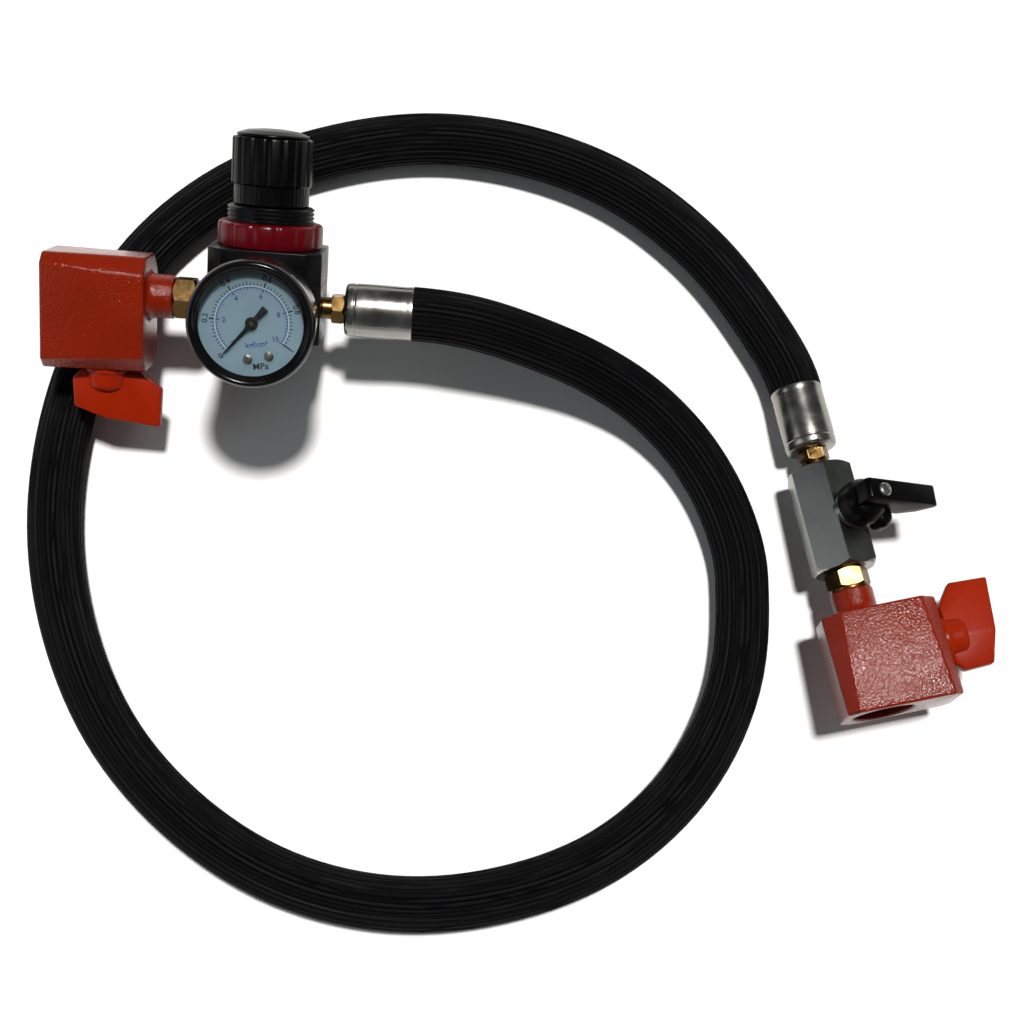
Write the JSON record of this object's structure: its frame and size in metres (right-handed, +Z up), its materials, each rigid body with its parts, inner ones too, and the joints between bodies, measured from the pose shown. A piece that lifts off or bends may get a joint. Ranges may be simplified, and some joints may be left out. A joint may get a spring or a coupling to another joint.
{
  "type": "regulated air transfer hose",
  "caption": "Air transfer hose with a clamp-on coupler at each end, a dial-gauge pressure regulator after the inlet and a ball valve before the outlet.",
  "frame": {"origin": "centre of the fittings' footprint, on the surface that the hose lies on", "axes": "+Z up from the surface, +X from the inlet coupler towards the outlet coupler, +Y towards the regulator's knob"},
  "size_m": [0.3555, 0.313, 0.0962],
  "materials": {
    "orange_paint": "orange paint over a rough casting",
    "wing_plastic": "satin moulded plastic",
    "seal_rubber": "plain",
    "zinc_steel": "bright zinc",
    "brass": "machined, slightly dull",
    "black_casting": "black paint, satin",
    "black_plastic": "satin",
    "red_ring": "dark red, satin",
    "black_enamel": "gloss black",
    "clear_lens": "clear",
    "dial_print": "printed scale",
    "pointer_black": "matt",
    "polished_steel": "polished, lightly scratched",
    "hose_rubber": "ribbed along its length, scuffed",
    "chrome": "plated",
    "seat_plastic": "white"
  },
  "bodies": {
    "assembly": {"inlet_coupler_body": "orange_paint", "inlet_coupler_seal": "seal_rubber", "inlet_nipple": "brass", "regulator_body": "black_casting", "regulator_bonnet": "black_plastic", "lock_ring": "red_ring", "adjusting_spring": "zinc_steel", "diaphragm": "seal_rubber", "poppet_spring": "zinc_steel", "bottom_plug": "black_plastic", "bottom_plug_oring": "seal_rubber", "rear_port_plug": "zinc_steel", "gauge_socket": "brass", "gauge_case": "black_enamel", "gauge_bezel": "black_enamel", "gauge_lens": "clear_lens", "gauge_dial": "dial_print", "dial_screw_left": "zinc_steel", "dial_screw_right": "zinc_steel", "movement_back_plate": "brass", "movement_front_plate": "brass", "bourdon_tube": "brass", "inlet_hose_tail": "brass", "inlet_ferrule": "polished_steel", "inlet_hose_end": "hose_rubber", "hose": "hose_rubber", "outlet_hose_end": "hose_rubber", "outlet_ferrule": "polished_steel", "outlet_hose_tail": "brass", "valve_body": "chrome", "valve_end_insert": "chrome", "ball_seat_upstream": "seat_plastic", "ball_seat_downstream": "seat_plastic", "outlet_nipple": "brass", "outlet_coupler_body": "orange_paint", "outlet_coupler_seal": "seal_rubber"},
    "inlet_pad": {"inlet_clamp_pad": "zinc_steel"},
    "inlet_wing": {"inlet_clamp_screw": "zinc_steel", "inlet_wing_knob": "wing_plastic"},
    "outlet_pad": {"outlet_clamp_pad": "zinc_steel"},
    "outlet_wing": {"outlet_clamp_screw": "zinc_steel", "outlet_wing_knob": "wing_plastic"},
    "adjuster": {"adjusting_screw": "zinc_steel"},
    "pressure_grip": {"pressure_knob": "black_plastic", "knob_cap": "black_plastic"},
    "seat_nut": {"spring_seat_nut": "brass"},
    "poppet": {"valve_poppet": "brass", "diaphragm_plate": "zinc_steel"},
    "sector": {"sector_gear": "brass"},
    "pointer": {"gauge_pointer": "pointer_black", "pointer_arbor": "brass"},
    "lever": {"valve_lever": "black_plastic", "lever_screw": "zinc_steel", "valve_stem": "brass", "stem_oring": "seal_rubber", "valve_ball": "chrome"}
  },
  "joints": [
    {"name": "inlet_pad_slide", "type": "slide", "parent": "assembly", "child": "inlet_pad", "axis": [0.0776, 0.896, 0.4373], "range_m": [-0.003, 0.0012]},
    {"name": "inlet_wing_turn", "type": "hinge", "parent": "inlet_pad", "child": "inlet_wing", "pos_m": [-0.14943, 0.03128, 0.03626], "axis": [0.0776, 0.896, 0.4373], "range_deg": [-864.1, 345.7], "deforming": ["hose"]},
    {"name": "outlet_pad_slide", "type": "slide", "parent": "assembly", "child": "outlet_pad", "axis": [-0.9801, -0.1955, -0.0346], "range_m": [-0.003, 0.0012]},
    {"name": "outlet_wing_turn", "type": "hinge", "parent": "outlet_pad", "child": "outlet_wing", "pos_m": [0.1463, -0.07676, 0.02628], "axis": [-0.9801, -0.1955, -0.0346], "range_deg": [-864.1, 345.7]},
    {"name": "pressure_turn", "type": "hinge", "parent": "assembly", "child": "adjuster", "pos_m": [-0.08672, 0.091, 0.06287], "axis": [-0.0776, -0.896, -0.4373], "range_deg": [0, 2160.1]},
    {"name": "knob_lift", "type": "slide", "parent": "adjuster", "child": "pressure_grip", "axis": [0.0776, 0.896, 0.4373], "range_m": [0, 0.003]},
    {"name": "seat_nut_slide", "type": "slide", "parent": "assembly", "child": "seat_nut", "axis": [-0.0776, -0.896, -0.4373], "range_m": [0, 0.006], "deforming": ["adjusting_spring"]},
    {"name": "poppet_lift", "type": "slide", "parent": "assembly", "child": "poppet", "axis": [-0.0776, -0.896, -0.4373], "range_m": [0, 0.0012], "stiffness_N_per_m": 600, "deforming": ["poppet_spring", "diaphragm"]},
    {"name": "sector_turn", "type": "hinge", "parent": "assembly", "child": "sector", "pos_m": [-0.08994, 0.02141, 0.06893], "axis": [0.0397, -0.4411, 0.8966], "range_deg": [0, 45]},
    {"name": "pointer_turn", "type": "hinge", "parent": "assembly", "child": "pointer", "pos_m": [-0.08901, 0.02856, 0.07686], "axis": [0.0397, -0.4411, 0.8966], "range_deg": [-270, 0]},
    {"name": "lever_turn", "type": "hinge", "parent": "assembly", "child": "lever", "pos_m": [0.123, -0.02718, 0.03059], "axis": [-0.4374, -0.2102, -0.8744], "range_deg": [-7, 83]}
  ],
  "couplings": [
    {"joint": "inlet_wing_turn", "follows": "inlet_pad_slide", "rad_per_m": 5026.5},
    {"joint": "outlet_wing_turn", "follows": "outlet_pad_slide", "rad_per_m": 5026.5},
    {"joint": "pressure_turn", "follows": "seat_nut_slide", "rad_per_m": 6283.2},
    {"joint": "pointer_turn", "follows": "sector_turn", "ratio": -6}
  ]
}
